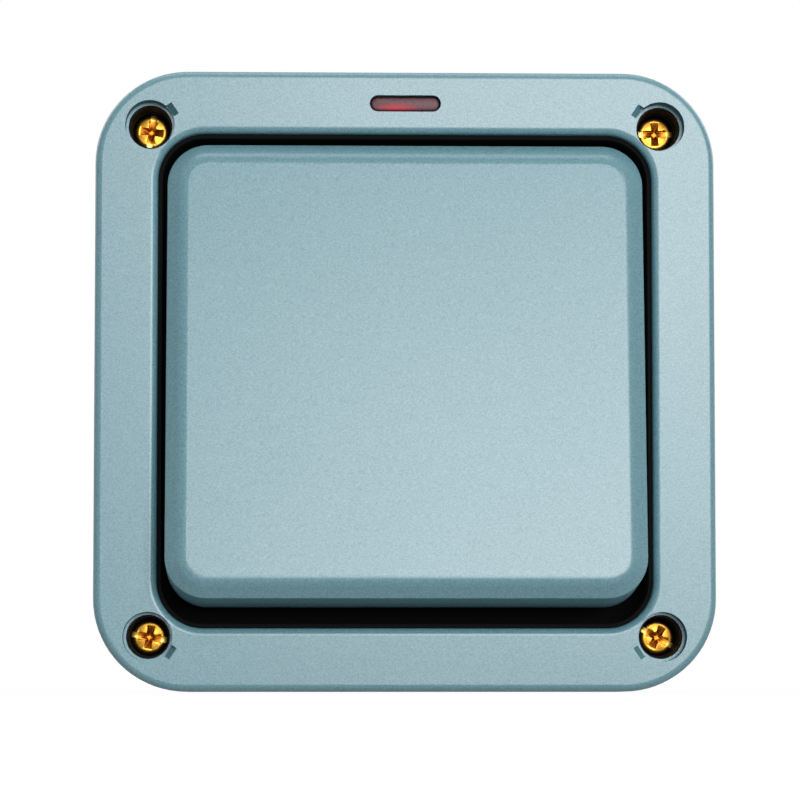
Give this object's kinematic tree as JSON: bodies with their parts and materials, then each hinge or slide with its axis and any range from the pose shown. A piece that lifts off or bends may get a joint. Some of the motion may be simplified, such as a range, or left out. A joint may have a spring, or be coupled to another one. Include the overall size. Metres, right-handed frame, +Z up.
{
  "type": "one-gang light switch",
  "caption": "Square surface-mounted weatherproof switch with a large bevelled rocker in a sunk well, screws in deep corner recesses and a red indicator window above.",
  "frame": {"origin": "centre of the back face, on the wall plane", "axes": "+Z up, +X to the right as seen from the front, +Y into the wall; the rocker faces -Y"},
  "size_m": [0.0974, 0.0657, 0.0974],
  "materials": {
    "grey_textured_plastic": "grey-teal, finely spark textured",
    "black_rubber": "moulded black rubber",
    "silicone": "dark grey silicone",
    "yellow_brass": "bright brass-yellow plating",
    "brass": "cut brass",
    "zinc_steel": "zinc plated steel",
    "spring_steel": "drawn spring wire",
    "black_acetal": "black acetal, as moulded",
    "white_moulding": "off-white thermoset moulding",
    "contact_copper": "stamped copper",
    "contact_silver": "silver alloy",
    "red_lens": "clear red polycarbonate",
    "circuit_board": "green lacquered laminate",
    "lamp_glass": "red lamp body",
    "resistor_enamel": "beige enamel",
    "brown_insulation": "brown insulation",
    "blue_insulation": "blue insulation"
  },
  "bodies": {
    "housing": {"back_box": "grey_textured_plastic", "front_cover": "grey_textured_plastic", "lid_gasket": "black_rubber", "well_seal": "black_rubber", "screw_seals": "black_rubber", "wall_seals": "black_rubber", "rocker_boot": "silicone", "cover_screws": "yellow_brass", "threaded_inserts": "brass", "earth_terminal": "brass", "l1_terminal": "brass", "l2_terminal": "brass", "common_terminal": "brass", "neutral_terminal": "brass", "earth_screw": "zinc_steel", "terminal_screws": "zinc_steel", "base_screws": "zinc_steel", "body_screws": "zinc_steel", "switch_body": "white_moulding", "terminal_base": "white_moulding", "fixed_contacts": "contact_silver", "indicator_lens": "red_lens", "indicator_board": "circuit_board", "indicator_lamp": "lamp_glass", "board_resistor": "resistor_enamel", "live_lead": "brown_insulation", "neutral_lead": "blue_insulation"},
    "rocker": {"rocker_cap": "grey_textured_plastic", "rocker_carrier": "black_acetal", "plunger_spring": "spring_steel"},
    "plunger": {"plunger": "black_acetal"},
    "rocking_contact": {"contact_strip": "contact_copper", "moving_contacts": "contact_silver"}
  },
  "joints": [
    {"name": "rocker_tilt", "type": "hinge", "parent": "housing", "child": "rocker", "pos_m": [0, -0.0483, 0], "axis": [1, 0, 0], "range_deg": [0, 13.4]},
    {"name": "contact_rock", "type": "hinge", "parent": "housing", "child": "rocking_contact", "pos_m": [0, -0.0263, 0], "axis": [1, 0, 0], "range_deg": [-18, 0]},
    {"name": "plunger_slide", "type": "slide", "parent": "rocker", "child": "plunger", "axis": [0, -0.9932, 0.1167], "range_m": [0, 0.0005], "stiffness_N_per_m": 400, "springref_m": -0.003, "deforming": ["plunger_spring"]}
  ],
  "couplings": [
    {"joint": "contact_rock", "follows": "rocker_tilt", "ratio": -1.3432}
  ]
}
